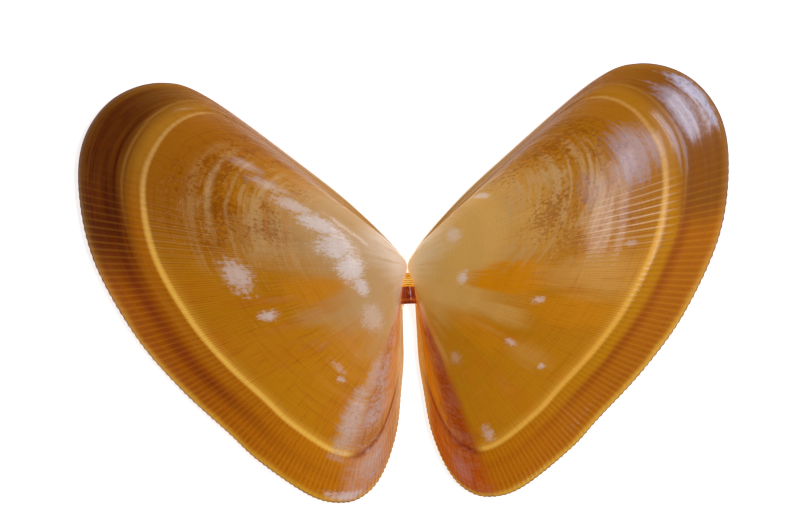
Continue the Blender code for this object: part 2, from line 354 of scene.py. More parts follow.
    # off to its side, sewn up, and turned the right way out
    x, y, z = flow.parts(flow.node("GeometryNodeInputPosition"))
    placed = flow.vector((x + s["beakOffset"]) * side, y + s["beakAlong"], z)
    body = flow.node("GeometryNodeSetPosition", {}, {"Geometry": body, "Position": placed})
    body = flow.node("GeometryNodeMergeByDistance", {}, {"Geometry": body, "Distance": 0.002 * mm})
    isLeft = flow.node("FunctionNodeCompare", {"data_type": "FLOAT", "operation": "LESS_THAN"},
                       {"A": side, "B": 0.0})
    flipped = flow.node("GeometryNodeFlipFaces", {}, {"Mesh": body})
    body = switch(flow, "GEOMETRY", isLeft, body, flipped)
    body = flow.node("GeometryNodeRealizeInstances", {}, {"Geometry": body})
    body = flow.node("GeometryNodeSetMaterial", {}, {"Geometry": body, "Material": shell})
    flow.node("NodeGroupOutput", {}, {"Valve": body})
    return tree


def switch(flow, kind, test, whenFalse, whenTrue):
    return flow.node("GeometryNodeSwitch", {"input_type": kind},
                     {"Switch": test, "False": whenFalse, "True": whenTrue})


def ringPlace(flow, length, share):
    # the strong ring stands nearer the edge in front and falls away down the back slope; the
    # ribs tooth it along the lower edge
    s = valveShape
    front = flow.step(length, 0.56, 0.38, 0.0, 0.014) + flow.step(length, 0.36, 0.22, 0.0, 0.055)
    behind = flow.step(length, 0.775, 0.87, 0.0, -0.125)
    teeth = ((share * (2 * s["ribs"])).math("PINGPONG", 0.5) - 0.25) * 0.013
    toothed = flow.step(length, 0.42, 0.62)
    return front + behind + teeth * toothed + s["ringSize"]


def edgeCurve():
    data = bpy.data.curves.new("valveEdge", "CURVE")
    data.dimensions = "3D"
    spline = data.splines.new("POLY")
    spline.points.add(len(edgeOutline) - 1)
    for point, (across, along) in zip(spline.points, edgeOutline):
        point.co = (across * mm, along * mm, 0.0, 1.0)
    spline.use_cyclic_u = True
    return data


def makeValve(name, tree, curve, side, seed, material):
    source = bpy.data.objects.new(name + "Edge", curve)
    bpy.context.scene.collection.objects.link(source)
    grow = source.modifiers.new("grow", "NODES")
    grow.node_group = tree
    given = {"Side": side, "Seed": seed, "Shell": material}
    for item in tree.interface.items_tree:
        if item.in_out == "INPUT" and item.name in given:
            grow[item.identifier] = given[item.name]
    bpy.context.view_layer.update()
    evaluated = source.evaluated_get(bpy.context.evaluated_depsgraph_get())
    mesh = bpy.data.meshes.new_from_object(evaluated)
    bpy.data.objects.remove(source)
    mesh.name = name
    mesh.shade_smooth()
    valve = bpy.data.objects.new(name, mesh)
    bpy.context.scene.collection.objects.link(valve)
    print("valve", name, len(mesh.polygons), "faces")
    return valve


# the light table, two soft boxes low on the right, and the long lens straight above; the room is
# pale round the horizon and dim overhead, so nothing veils the colour of the shell
studio = {
    "tableSize": 1.2,
    "tableColour": (0.93, 0.93, 0.93, 1.0),
    "tableGlow": 0.80,
    "horizonGlow": 0.85,
    "ceilingGlow": 0.04,
    "horizonTop": 0.22,            # how high the pale part of the room reaches, as a sine
    "boxes": [
        # name, compass direction, elevation, distance, width, height, power, colour
        ("frontBox", 34.0, 31.0, 0.55, 0.30, 0.030, 0.80, (0.80, 0.85, 1.0)),
        ("sideStrip", 4.0, 53.0, 0.55, 0.52, 0.08, 1.15, (0.84, 0.88, 1.0)),
    ],
    "lensHeight": 0.80,
    "frameWidth": 0.0594,
    "frameCentre": (-0.54 * mm, 1.54 * mm),
    "roll": -2.32,
}


def makeRoom():
    world = bpy.data.worlds.new("paleRoom")
    bpy.context.scene.world = world
    world.use_nodes = True
    flow = Flow(world.node_tree)
    flow.node("ShaderNodeTexCoord")
    rise = flow.parts(flow.output("Generated"))[2]
    glow = flow.step(rise, 0.02, studio["horizonTop"],
                     studio["horizonGlow"], studio["ceilingGlow"])
    background = world.node_tree.nodes["Background"]
    background.inputs["Color"].default_value = (1.0, 1.0, 1.0, 1.0)
    flow.feed(background.inputs["Strength"], glow)


def makeBoxes():
    for name, compass, elevation, distance, width, height, power, colour in studio["boxes"]:
        level = math.cos(math.radians(elevation)) * distance
        place = Vector((level * math.cos(math.radians(compass)),
                        level * math.sin(math.radians(compass)),
                        distance * math.sin(math.radians(elevation))))
        lamp = bpy.data.lights.new(name, "AREA")
        lamp.shape = "RECTANGLE"
        lamp.size = width
        lamp.size_y = height
        lamp.energy = power
        lamp.color = colour
        box = bpy.data.objects.new(name, lamp)
        box.location = place
        box.rotation_euler = (-place).to_track_quat("-Z", "Y").to_euler()
        bpy.context.scene.collection.objects.link(box)


def makeStudio():
    s = studio
    makeRoom()
    makeBoxes()
    bpy.ops.mesh.primitive_plane_add(size=s["tableSize"], location=(0.0, 0.0, -0.02 * mm))
    table = bpy.context.object
    table.name = "paleTable"
    paint = bpy.data.materials.new("paleTable")
    paint.use_nodes = True
    shader = paint.node_tree.nodes["Principled BSDF"]
    shader.inputs["Base Color"].default_value = s["tableColour"]
    shader.inputs["Roughness"].default_value = 0.9
    shader.inputs["Specular IOR Level"].default_value = 0.0
    shader.inputs["Emission Color"].default_value = (1.0, 1.0, 1.0, 1.0)
    shader.inputs["Emission Strength"].default_value = s["tableGlow"]
    table.data.materials.append(paint)

    lens = bpy.data.cameras.new("longLens")
    lens.sensor_width = 36.0
    lens.lens = 36.0 * s["lensHeight"] / s["frameWidth"]
    lens.clip_start = 0.05
    lens.clip_end = 5.0
    camera = bpy.data.objects.new("longLens", lens)
    camera.location = (*s["frameCentre"], s["lensHeight"])
    camera.rotation_euler = (0.0, 0.0, math.radians(s["roll"]))
    bpy.context.scene.collection.objects.link(camera)
    bpy.context.scene.camera = camera
    bpy.context.scene.view_settings.view_transform = "Standard"
    print("studio set")


# the finish of each valve; places are (distance round the edge, size of the growth ring), and a
# patch is (place round the edge, size, half its width, half its depth, strength)
leftTones = {
    "gold": rgb(172, 108, 2), "goldBack": rgb(184, 116, 4), "beige": rgb(174, 134, 86),
    "milk": rgb(200, 176, 152), "front": rgb(144, 82, 8),
    "frontArcs": rgb(184, 144, 92), "frontDark": rgb(124, 60, 2), "frontInner": rgb(158, 106, 28),
    "scratch": rgb(178, 124, 84),
    "orange": rgb(178, 92, 1), "bandInner": rgb(166, 94, 1), "bandDark": rgb(118, 42, 0),
    "band": rgb(158, 80, 1), "bandBack": rgb(190, 112, 6), "frontBand": rgb(74, 24, 0),
    "edge": rgb(208, 152, 44), "edgeLine": rgb(92, 42, 6), "ring": rgb(240, 184, 76),
    "ringFront": rgb(206, 158, 88),
    "ribPale": rgb(204, 138, 40), "foreSlope": rgb(152, 106, 42), "foreDark": rgb(128, 72, 0),
    "growthLine": rgb(184, 134, 66), "slope": rgb(198, 126, 62), "slopeFront": rgb(172, 106, 46),
    "slopeBand": rgb(194, 126, 76),
    "slopeDark": rgb(140, 62, 12), "slopePeelAndSheen": rgb(176, 152, 150), "slopeEdge": rgb(216, 168, 112),
    "wearAndSheen": rgb(212, 200, 198), "paintedSheen": rgb(190, 164, 154), "paintedSheenSpeckle": rgb(150, 100, 62),
    "orangePatch": rgb(184, 112, 8),
    "stripeAt": 0.096, "stripeWidth": 0.046, "frontBandReach": 0.52, "beigeTop": 0.50,
    "beigeFoot": 0.22, "beigeBack": 0.0, "peelAndSheen": 0.60, "wearAndSheenAmount": 0.76,
    "lean": 0.20, "boldArcs": [(0.642, 0.018, 0.80), (0.590, 0.009, 0.50)], "ribGlint": 0.12,
    "ribGlintTone": rgb(222, 188, 152),
    "orangePatches": [(0.535, 0.39, 0.045, 0.13, 0.9), (0.70, 0.46, 0.05, 0.22, 0.5),
                      (0.60, 0.62, 0.03, 0.16, 0.5)],
    "wearAndSheenPatches": [(0.490, 0.580, 0.030, 0.045, 0.85), (0.565, 0.560, 0.011, 0.035, 0.9),
                    # the streak down the front of the disc and its tail: worn places with a painted
                    # sheen on them
                    (0.366, 0.345, 0.024, 0.060, 1.0), (0.415, 0.292, 0.048, 0.056, 1.0),
                    (0.470, 0.258, 0.062, 0.042, 1.0), (0.548, 0.244, 0.045, 0.024, 0.9),
                    (0.345, 0.415, 0.015, 0.070, 0.70), (0.327, 0.500, 0.012, 0.065, 0.50),
                    (0.312, 0.585, 0.009, 0.050, 0.40),
                    (0.705, 0.500, 0.022, 0.02, 0.40), (0.720, 0.530, 0.010, 0.02, 0.8),
                    (0.680, 0.270, 0.060, 0.050, 0.45), (0.782, 0.972, 0.018, 0.022, 0.85)],
    # painted glints and sheen: pale patches where the lamps would be reflected
    "paintedSheenPatches": [(0.766, 0.650, 0.018, 0.180, 0.85), (0.774, 0.450, 0.015, 0.110, 0.55),
                     (0.806, 0.860, 0.020, 0.060, 0.45), (0.290, 0.866, 0.016, 0.008, 0.25)],
    "beigePatches": [(0.425, 0.470, 0.060, 0.140, 0.55), (0.590, 0.440, 0.020, 0.080, 0.40)],
}
rightTones = dict(leftTones, **{
    "gold": rgb(166, 104, 1), "goldBack": rgb(170, 108, 3), "beige": rgb(192, 144, 74),
    "milk": rgb(206, 174, 130), "front": rgb(146, 88, 8),
    "frontArcs": rgb(180, 142, 94), "frontDark": rgb(124, 64, 2), "frontInner": rgb(154, 98, 16),
    "orange": rgb(176, 98, 1), "bandInner": rgb(168, 108, 0), "bandDark": rgb(136, 62, 0),
    "band": rgb(156, 86, 0), "bandBack": rgb(172, 96, 2), "frontBand": rgb(116, 64, 8),
    "ring": rgb(222, 164, 62), "ringFront": rgb(196, 146, 76), "edge": rgb(206, 156, 52),
    "orangePatch": rgb(188, 114, 2),
    "foreSlope": rgb(158, 112, 48), "foreDark": rgb(128, 72, 0),
    "slope": rgb(206, 114, 12), "slopeFront": rgb(156, 64, 4), "slopeDark": rgb(118, 26, 2),
    "slopeBand": rgb(172, 76, 4), "paintedSheen": rgb(176, 170, 186), "paintedSheenSpeckle": rgb(104, 84, 92),
    "stripeAt": 0.070, "stripeWidth": 0.030, "lean": 0.75, "ribGlint": 0.80,
    "boldArcs": [(0.662, 0.010, 0.65), (0.604, 0.008, 0.50)],
    "slopePeelAndSheen": rgb(166, 112, 84), "slopeEdge": rgb(222, 156, 74),
    "frontBandReach": 0.47, "beigeTop": 0.54, "beigeFoot": 0.24, "beigeBack": 0.22, "peelAndSheen": 0.35,
    "wearAndSheenAmount": 0.60,
    "orangePatches": [(0.520, 0.40, 0.046, 0.13, 1.4), (0.66, 0.40, 0.035, 0.16, 0.6),
                      (0.57, 0.62, 0.03, 0.16, 0.6)],
    "wearAndSheenPatches": [(0.525, 0.265, 0.028, 0.018, 1.0), (0.285, 0.365, 0.026, 0.014, 0.9),
                    (0.560, 0.520, 0.010, 0.022, 0.9), (0.648, 0.530, 0.006, 0.022, 0.8),
                    (0.655, 0.680, 0.004, 0.014, 0.8), (0.360, 0.230, 0.035, 0.022, 0.7),
                    (0.760, 0.740, 0.009, 0.045, 0.7), (0.745, 0.410, 0.016, 0.030, 0.35),
                    (0.470, 0.720, 0.005, 0.020, 0.5)],
    # painted glints and sheen: pale patches where the lamps would be reflected
    "paintedSheenPatches": [(0.340, 0.972, 0.036, 0.022, 1.6), (0.347, 0.914, 0.036, 0.040, 0.62),
                     (0.372, 0.850, 0.040, 0.010, 0.35), (0.382, 0.872, 0.030, 0.008, 0.25),
                     (0.364, 0.735, 0.040, 0.075, 0.42), (0.385, 0.600, 0.034, 0.045, 0.16),
                     (0.805, 0.900, 0.012, 0.070, 0.12)],
    "beigePatches": [(0.510, 0.640, 0.036, 0.200, 0.60), (0.603, 0.430, 0.024, 0.120, 0.60),
                     (0.650, 0.600, 0.018, 0.120, 0.35), (0.445, 0.500, 0.040, 0.090, 0.28)],
})
# glow is the emission strength: the shell glows with its own colour, a painted backlight standing in for
# the light table shining through the wall
shellGloss = {"roughness": 0.33, "wornRoughness": 0.55, "insideRoughness": 0.16,
              "lineBump": 0.75, "coat": 0.42, "coatRoughness": 0.17, "specular": 0.12,
              "glow": 0.64}


def patch(flow, f, s, place, ragged):
    # a patch about a place, with a ragged outline
    centre, size, width, depth, amount = place
    across = (f - centre) / width
    along = (s - size) / depth
    away = (across * across + along * along).math("SQRT")
    return flow.step(away + ragged, 1.15, 0.35) * amount


def allPatches(flow, f, s, places, ragged):
    together = patch(flow, f, s, places[0], ragged)
    for place in places[1:]:
        together = together.math("MAXIMUM", patch(flow, f, s, place, ragged))
    return together.math("MINIMUM", 1.0)


def shellMaterial(name, tones):
    t = tones
    material = bpy.data.materials.new(name)
    material.use_nodes = True
    tree = material.node_tree
    shader = tree.nodes["Principled BSDF"]
    flow = Flow(tree)
    mix = flow.mixColour
    flow.node("ShaderNodeAttribute", {"attribute_name": "growth"})
    u, s, f = flow.parts(flow.output("Vector"))
    flow.node("ShaderNodeAttribute", {"attribute_name": "where"})
    inside, inset, seed = flow.parts(flow.output("Vector"))
    ringAt = ringPlace(flow, f, u)
    beyond = s - ringAt                       # above 0 outside the strong ring

    # noise that runs with the growth lines, with the ribs, and both ways
    arcs = flow.noise(flow.vector(s * 70.0, f * 9.0, seed), 1.0, 4.0, 0.62)
    fineArcs = flow.noise(flow.vector(s * 230.0, f * 22.0, seed + 3.0), 1.0, 3.0, 0.6)
    rays = flow.noise(flow.vector(f * 30.0, s * 2.2, seed + 7.0), 1.0, 3.0, 0.6)
    fineRays = flow.noise(flow.vector(f * 320.0, s * 9.0, seed + 9.0), 1.0, 2.0, 0.6)
    cloud = flow.noise(flow.vector(f * 16.0, s * 9.0, seed + 13.0), 1.0, 4.0, 0.62)
    specks = flow.noise(flow.vector(f * 190.0, s * 75.0, seed + 17.0), 1.0, 4.0, 0.68)
    ragged = (specks - 0.5) * 2.2 + (cloud - 0.5) * 1.6 + (fineRays - 0.5) * 1.0
    ribWave = (u * (2 * math.pi * valveShape["ribs"])).math("COSINE") * 0.5 + 0.5
    ribTop = ribWave ** 6.0
    ribGroove = (1.0 - ribWave) ** 2.0
    fineWave = ((u * (4 * math.pi * valveShape["ribs"]) + (cloud - 0.5) * 1.5).math("COSINE")
                * 0.5 + 0.5)

    # disc: milky beak, beige shoulder, gold towards the ring
    wander = (cloud - 0.5) * 0.20 + (rays - 0.5) * 0.24
    gold = mix(flow.step(f + (rays - 0.5) * 0.10, 0.56, 0.70), t["gold"], t["goldBack"])
    stripes = flow.step(rays + (fineRays - 0.5) * 0.25, 0.44, 0.66)
    gold = mix(stripes * flow.step(f, 0.46, 0.56) * 0.60, gold, t["orange"])
    pulled = flow.step(f, 0.50, 0.40, 0.0, -0.08) + flow.step(f, 0.58, 0.74) * t["beigeBack"]
    colour = mix(flow.step(s + wander + pulled, t["beigeFoot"], t["beigeTop"]), t["beige"], gold)
    milky = flow.step(s + wander * 0.3 + flow.step(f, 0.30, 0.62, -0.10, 0.0)
                      + flow.step(f, 0.58, 0.74) * t["beigeBack"] * 0.5, 0.18, 0.03)
    colour = mix(milky, colour, t["milk"])
    streaks = flow.step(rays + (cloud - 0.5) * 0.5, 0.52, 0.74) * flow.step(s, 0.72, 0.40)
    colour = mix(streaks * 0.45, colour, t["beige"])
    for place in t["orangePatches"]:
        colour = mix(patch(flow, f, s, place, (rays - 0.5) * 1.8 + (fineRays - 0.5) * 0.9),
                     colour, t["orangePatch"])
    for place in t["beigePatches"]:
        colour = mix(patch(flow, f, s, place, (rays - 0.5) * 1.6), colour, t["beige"])

    # front of the disc: browner, crossed by broken pale growth lines
    front = flow.step(f + (cloud - 0.5) * 0.06, 0.50, 0.42)
    colour = mix(front * flow.step(s, 0.42, 0.70) * 0.85, colour, t["front"])
    broken = (cloud - 0.5) * 1.1 + (specks - 0.5) * 0.45
    leaning = s + (f - 0.30) * t["lean"]
    leaningArcs = flow.noise(flow.vector(leaning * 70.0, f * 9.0, seed + 5.0), 1.0, 4.0, 0.62)
    pale = flow.step(leaningArcs + broken * 0.75, 0.50, 0.66) * flow.step(s, 0.72, 0.62)
    pale = pale * flow.step(s, 0.30, 0.42) * flow.step(f, 0.54, 0.44) * flow.step(f, 0.285, 0.32)
    colour = mix(pale * 0.50, colour, t["frontArcs"])
    wide = flow.noise(flow.vector(leaning * 24.0, f * 4.0, seed + 31.0), 1.0, 2.0, 0.5)
    wide = flow.step(wide + broken * 0.35, 0.51, 0.62) * flow.step(s, 0.72, 0.63)
    wide = wide * front * flow.step(s, 0.34, 0.50) * flow.step(f, 0.27, 0.31)
    colour = mix(wide * (0.08 + 0.58 * cloud), colour, t["frontArcs"])
    crossed = flow.noise(flow.vector(f * 150.0, s * 60.0, seed + 41.0), 1.0, 3.0, 0.7,
                         distortion=1.6)
    scratches = flow.step(crossed, 0.54, 0.66) * front * flow.step(f, 0.33, 0.38)
    colour = mix(scratches * flow.bump(s, 0.67, 0.16) * 0.55, colour, t["scratch"])
    blotch = flow.step(specks + (cloud - 0.5) * 0.8, 0.48, 0.38) * front
    colour = mix(blotch * flow.step(s, 0.34, 0.50) * flow.step(s, 0.78, 0.70) * 0.62,
                 colour, t["frontDark"])
    rust = flow.step(specks + (arcs - 0.5) * 0.9, 0.60, 0.72) * flow.step(s, 0.72, 0.58)
    colour = mix(rust * front * flow.step(s, 0.34, 0.45) * 0.6, colour, t["orange"])
    for at, width, amount in t["boldArcs"]:
        bold = flow.bump(leaning + (cloud - 0.5) * 0.03, at, width) * flow.bump(f, 0.375, 0.10)
        colour = mix(bold * (0.3 + 1.4 * (specks - 0.15)) * amount, colour, t["frontArcs"])

    # band outside the ring: ochre, a dark red-brown stripe, brown, and an amber edge; the
    # front of it is nearly black on the left valve
    drift = (arcs - 0.5) * 0.016 + (cloud - 0.5) * 0.02
    stripe = flow.bump(beyond + drift, t["stripeAt"], t["stripeWidth"])
    band = mix(flow.step(beyond + drift, 0.040, 0.075), t["bandInner"], t["band"])
    band = mix(stripe * (0.55 + 0.9 * (rays - 0.25)), band, t["bandDark"])
    band = mix(flow.step(f, 0.60, 0.76) * 0.75, band, t["bandBack"])
    cells = flow.step(arcs + (fineArcs - 0.5) * 0.8, 0.42, 0.60)
    band = mix(ribGroove * cells * flow.step(f, 0.36, 0.44) * 0.25, band, t["bandDark"])
    band = mix(flow.step(f, 0.44, 0.36) * 0.8, band, t["frontInner"])
    frontDark = flow.step(f + (cloud - 0.5) * 0.03, t["frontBandReach"], 0.43)
    frontDark = frontDark * flow.step(f, 0.235, 0.335, 0.25, 1.0)
    frontDark = frontDark * flow.step(beyond + drift, 0.012, 0.085)
    band = mix(frontDark * (0.92 + 0.7 * (arcs - 0.5)), band, t["frontBand"])
    rim = flow.step(s + (rays - 0.5) * 0.02 + (fineRays - 0.5) * 0.012, 0.968, 0.994)
    band = mix(rim * flow.step(f, 0.40, 0.62, 0.10, 0.82), band, t["edge"])
    dots = ribGroove * flow.bump(s + (specks - 0.5) * 0.01, 0.952, 0.013) * flow.step(f, 0.45, 0.6)
    band = mix(dots * 0.22, band, t["edgeLine"])
    pause = flow.bump(beyond, 0.058, 0.008) * flow.step(f, 0.50, 0.38) * (0.05 + 0.30 * cloud)
    band = mix(pause, band, t["growthLine"])
    seen = flow.step(f, 0.215, 0.250)         # 0 on the fore slope, which has neither band nor ring
    colour = mix(flow.step(beyond, -0.002, 0.006) * seen, colour, band)

    # the ring itself, a pale thread with a faint glow behind it
    glow = flow.step(beyond, -0.050, -0.004) * flow.step(beyond, 0.010, 0.0)
    colour = mix(glow * flow.step(f, 0.40, 0.56, 0.0, 0.30), colour, t["ring"])
    thin = flow.step(f, 0.30, 0.50, 0.010, 0.017)
    thread = flow.step((beyond + 0.003).math("ABSOLUTE") / thin, 0.0, 1.0, 1.0, 0.0)
    thread = thread * flow.step(f, 0.79, 0.77) * seen
    thread = (thread * (0.95 + 0.25 * ribWave + 0.9 * (fineRays - 0.5))).math("MINIMUM", 1.0)
    threadTone = mix(flow.step(f, 0.34, 0.50), t["ringFront"], t["ring"])
    colour = mix(thread * flow.step(f, 0.30, 0.46, 0.55, 0.95), colour, threadTone)

    # ribs: narrow pale lines between darker grooves, over fine growth lines
    ribbed = flow.step(f, 0.37, 0.46) * flow.step(s, 0.25, 0.60)
    onBand = flow.step(beyond, -0.01, 0.01)
    uneven = 0.5 + 1.0 * (fineRays - 0.25)
    colour = mix(ribTop * ribbed * uneven * (0.10 + 0.12 * onBand), colour, t["ribPale"])
    colour = mix(fineWave * ribbed * uneven * (1.0 - onBand) * 0.22, colour, t["ribPale"])
    colour = mix((1.0 - fineWave) * ribbed * uneven * (1.0 - onBand) * 0.20, colour, t["bandDark"])
    # painted glints: thin pale lines on the ribs below the ring, where the ribs would catch the light
    ribGlint = (u * (2 * math.pi * 142) + (cloud - 0.5) * 1.2).math("COSINE") * 0.5 + 0.5
    ribGlint = ribGlint ** 12.0 * flow.bump(f, 0.440, 0.058) * flow.step(s, 0.52, 0.66)
    ribGlint = ribGlint * flow.step(beyond, 0.06, -0.02) * uneven
    colour = mix((ribGlint * t["ribGlint"]).math("MINIMUM", 1.0), colour, t["ribGlintTone"])
    colour = mix(flow.step(fineRays, 0.50, 0.78) * 0.26 * flow.step(s, 0.2, 0.5),
                 colour, t["bandDark"])
    colour = mix(flow.step(fineArcs, 0.52, 0.75) * flow.step(s, 0.75, 0.45, 0.06, 0.20),
                 colour, t["growthLine"])
    colour = mix(flow.step(arcs, 0.48, 0.30) * 0.18 * flow.step(s, 0.3, 0.6), colour, t["bandDark"])

    # back slope: finely lined, peeling along the keel with a pale painted sheen there on the left valve,
    # darker where the ring crosses it
    onSlope = flow.step(f + (cloud - 0.5) * 0.014, 0.770, 0.788)
    mottle = (rays - 0.5) * 0.06 + (cloud - 0.5) * 0.05
    slope = mix(flow.step(f + mottle, 0.790, 0.835), t["slopeFront"], t["slope"])
    slope = mix(flow.step(s, 0.30, 0.14), slope, t["slope"])
    slope = mix(flow.step(beyond, 0.0, 0.02) * 0.85, slope, t["slopeBand"])
    crossing = flow.bump(beyond + mottle * 0.4, 0.006, 0.030)
    slope = mix(crossing * 0.80, slope, t["slopeDark"])
    slope = mix(flow.step(f + mottle * 0.3, 0.842, 0.888) * 0.85, slope, t["slopeEdge"])
    slope = mix(flow.step(s + (rays - 0.5) * 0.01, 0.975, 0.994) * 0.75, slope, t["edge"])
    slope = mix(flow.step(fineRays, 0.42, 0.66) * 0.30, slope, t["slopeDark"])
    slope = mix(flow.step(fineArcs, 0.50, 0.70) * 0.18, slope, t["slopeDark"])
    # the pale peel along the keel is partly a painted sheen, strongest on the left valve
    peelAndSheen = flow.step(specks * 0.6 + cloud * 0.7, 0.60, 0.74) * flow.bump(f, 0.800, 0.045)
    slope = mix(peelAndSheen * t["peelAndSheen"], slope, t["slopePeelAndSheen"])
    colour = mix(onSlope, colour, slope)

    # fore slope: brown in front, beige and then milky towards the beak, mottled throughout
    fore = flow.step(f + (cloud - 0.5) * 0.03, 0.285, 0.235)
    foreTone = mix(flow.step(f + (specks - 0.5) * 0.05, 0.10, 0.20), t["foreSlope"], t["foreDark"])
    foreTone = mix(flow.step(arcs + (specks - 0.5) * 0.7, 0.50, 0.66) * 0.45, foreTone, t["frontArcs"])
    # a pale line along the edge of the fore slope: a painted highlight
    foreTone = mix(flow.step(s, 0.93, 0.99) * flow.step(f, 0.24, 0.16) * 0.6, foreTone, t["milk"])
    foreTone = mix(flow.step(s + mottle, 0.60, 0.32) * 0.85, foreTone, t["beige"])
    foreTone = mix(flow.step(s * f, 0.055, 0.020), foreTone, t["milk"])
    colour = mix(fore * 0.9, colour, foreTone)

    # worn milky places, partly a painted sheen where the light would catch the disc, and pin-prick pits
    wearAndSheen = allPatches(flow, f, s, t["wearAndSheenPatches"], ragged)
    wearAndSheen = wearAndSheen * t["wearAndSheenAmount"] * (0.45 + 0.9 * (fineRays * 0.5 + arcs * 0.5))
    nicks = flow.step(specks, 0.69, 0.77) * flow.step(cloud, 0.45, 0.60) * 0.5
    wearAndSheen = wearAndSheen.math("MAXIMUM", nicks * flow.step(s, 0.95, 0.8)).math("MINIMUM", 1.0)
    colour = mix(wearAndSheen * 0.85, colour, t["wearAndSheen"])

    # painted glints and sheen: pale patches where the lamps would be reflected, streaked along the
    # growth lines and speckled dark
    streaky = (arcs - 0.5) * 1.5 + (specks - 0.5) * 1.0 + (cloud - 0.5) * 1.4
    paintedSheen = allPatches(flow, f, s, t["paintedSheenPatches"], streaky)
    colour = mix(paintedSheen * 0.78, colour, t["paintedSheen"])
    colour = mix(paintedSheen * flow.step(specks, 0.50, 0.38) * 0.50, colour, t["paintedSheenSpeckle"])
    outline = flow.step(s + (specks - 0.5) * 0.006, 0.992, 0.999)
    colour = mix(outline * (0.25 + 0.9 * rays), colour, t["edgeLine"])

    colour = mix(inside, colour, insideColour(flow, u, f, inset, seed))
    flow.feed(shader.inputs["Base Color"], colour)
    flow.feed(shader.inputs["Emission Color"], colour)
    g = shellGloss
    outer = (g["roughness"] + (arcs - 0.5) * 0.16 + (specks - 0.5) * 0.22
             + wearAndSheen * (g["wornRoughness"] - g["roughness"]))
    flow.feed(shader.inputs["Roughness"], outer * (1.0 - inside) + inside * g["insideRoughness"])
    surface = fineArcs * 0.6 + arcs * 0.9 + fineRays * 0.30 + specks * 0.2
    flow.feed(shader.inputs["Normal"], flow.node(
        "ShaderNodeBump", {}, {"Strength": g["lineBump"], "Distance": 0.00006,
                               "Height": surface * (1.0 - inside)}))
    # painted backlight: the shell glows with its own colour
    shader.inputs["Emission Strength"].default_value = g["glow"]
    shader.inputs["Specular IOR Level"].default_value = g["specular"]
    glossy = flow.step(f, 0.26, 0.34, 0.04, 1.0) * flow.step(f, 0.84, 0.76, 0.35, 1.0)
    flow.feed(shader.inputs["Coat Weight"], g["coat"] * glossy.math("MAXIMUM", inside))
    shader.inputs["Coat Roughness"].default_value = g["coatRoughness"]
    shader.inputs["IOR"].default_value = 1.53
    print("finish", name, len(tree.nodes), "nodes")
    return material


insideTones = {
    "cream": rgb(226, 202, 168), "blush": rgb(206, 160, 120), "violet": rgb(188, 160, 170),
    "rim": rgb(214, 158, 84), "scar": rgb(236, 222, 200), "line": rgb(176, 122, 78),
}


def insideColour(flow, u, f, inset, seed):
    # the hollow is porcelain: amber at the rim, blushing deeper in, with the mantle's line
    t = insideTones
    mix = flow.mixColour
    cloud = flow.noise(flow.vector(f * 9.0, inset * 0.25, seed + 21.0), 1.0, 3.0, 0.55)
    rays = flow.noise(flow.vector(f * 90.0, inset * 0.15, seed + 25.0), 1.0, 2.0, 0.6)
    colour = mix(flow.step(inset + (cloud - 0.5) * 5.0, 2.0, 8.5), t["cream"], t["blush"])
    colour = mix(flow.step(inset + (cloud - 0.5) * 4.0, 6.0, 13.0) * 0.6, colour, t["violet"])
    colour = mix(flow.step(inset, 1.9, 0.2), colour, t["rim"])
    colour = mix(flow.step(rays, 0.5, 0.75) * 0.25, colour, t["scar"])
    sinus = flow.step(f, 0.66, 0.80) * flow.step(f, 0.93, 0.82)
    mantle = inset - (2.6 + sinus * 6.0)
    colour = mix(flow.bump(mantle, 0.0, 0.35) * 0.55, colour, t["line"])
    for centre, deep in ((0.20, 4.2), (0.865, 2.9)):
        across = (f - centre) / 0.035
        along = (inset - deep) / 1.6
        away = (across * across + along * along).math("SQRT")
        colour = mix(flow.step(away, 1.15, 0.95) * 0.6, colour, t["scar"])
        colour = mix(flow.bump(away, 1.08, 0.16) * 0.5, colour, t["line"])
    return colour


# the ligament: amber leaves between the beaks, then a dark glossy block with a square end
ligamentForm = {
    # along the hinge from the middle of the pair, half width, foot and crest, in millimetres
    "sections": [(1.02, 0.20, 0.80, 1.42), (0.86, 0.30, 0.62, 1.50), (0.60, 0.36, 0.50, 1.50),
                 (0.30, 0.41, 0.42, 1.46), (0.06, 0.46, 0.36, 1.40), (-0.02, 0.47, 0.34, 1.44),
                 (-0.50, 0.52, 0.30, 1.42), (-0.95, 0.57, 0.28, 1.34), (-1.25, 0.60, 0.27, 1.22),
                 (-1.30, 0.58, 0.30, 1.12)],
    "leaves": (0.96, 0.78, 0.62, 0.44, 0.28, 0.13),       # the grooves between the leaves
    "leafDepth": 0.05,
    "rows": 72, "sides": 36,
    "fibres": [((-0.50, -1.25, 0.75), (-0.58, -1.50, 0.70), (-0.46, -1.78, 0.62), 0.055),
               ((-0.40, -1.28, 0.70), (-0.36, -1.44, 0.66), (-0.46, -1.58, 0.60), 0.040),
               ((0.52, -1.26, 0.70), (0.58, -1.38, 0.66), (0.56, -1.48, 0.62), 0.035)],
}
ligamentTones = {
    "amber": rgb(236, 160, 24), "pale": rgb(250, 200, 92), "groove": rgb(150, 84, 4),
    "dark": rgb(118, 26, 4), "red": rgb(150, 52, 8), "brown": rgb(176, 82, 16),
    "end": rgb(150, 118, 40), "fibre": rgb(226, 196, 130), "glint": rgb(206, 120, 80),
    # glow is the emission strength: the ligament glows with its own colour, a painted backlight
    "roughness": 0.22, "coat": 0.6, "glow": 0.55,
}


def blendSections(sections, along):
    # smooth values between the sections that stand on either side of a place
    for first, second in zip(sections, sections[1:]):
        if second[0] <= along <= first[0]:
            share = (first[0] - along) / (first[0] - second[0])
            share = share * share * (3 - 2 * share)
            return [a + (b - a) * share for a, b in zip(first[1:], second[1:])]
    return list(sections[-1][1:])


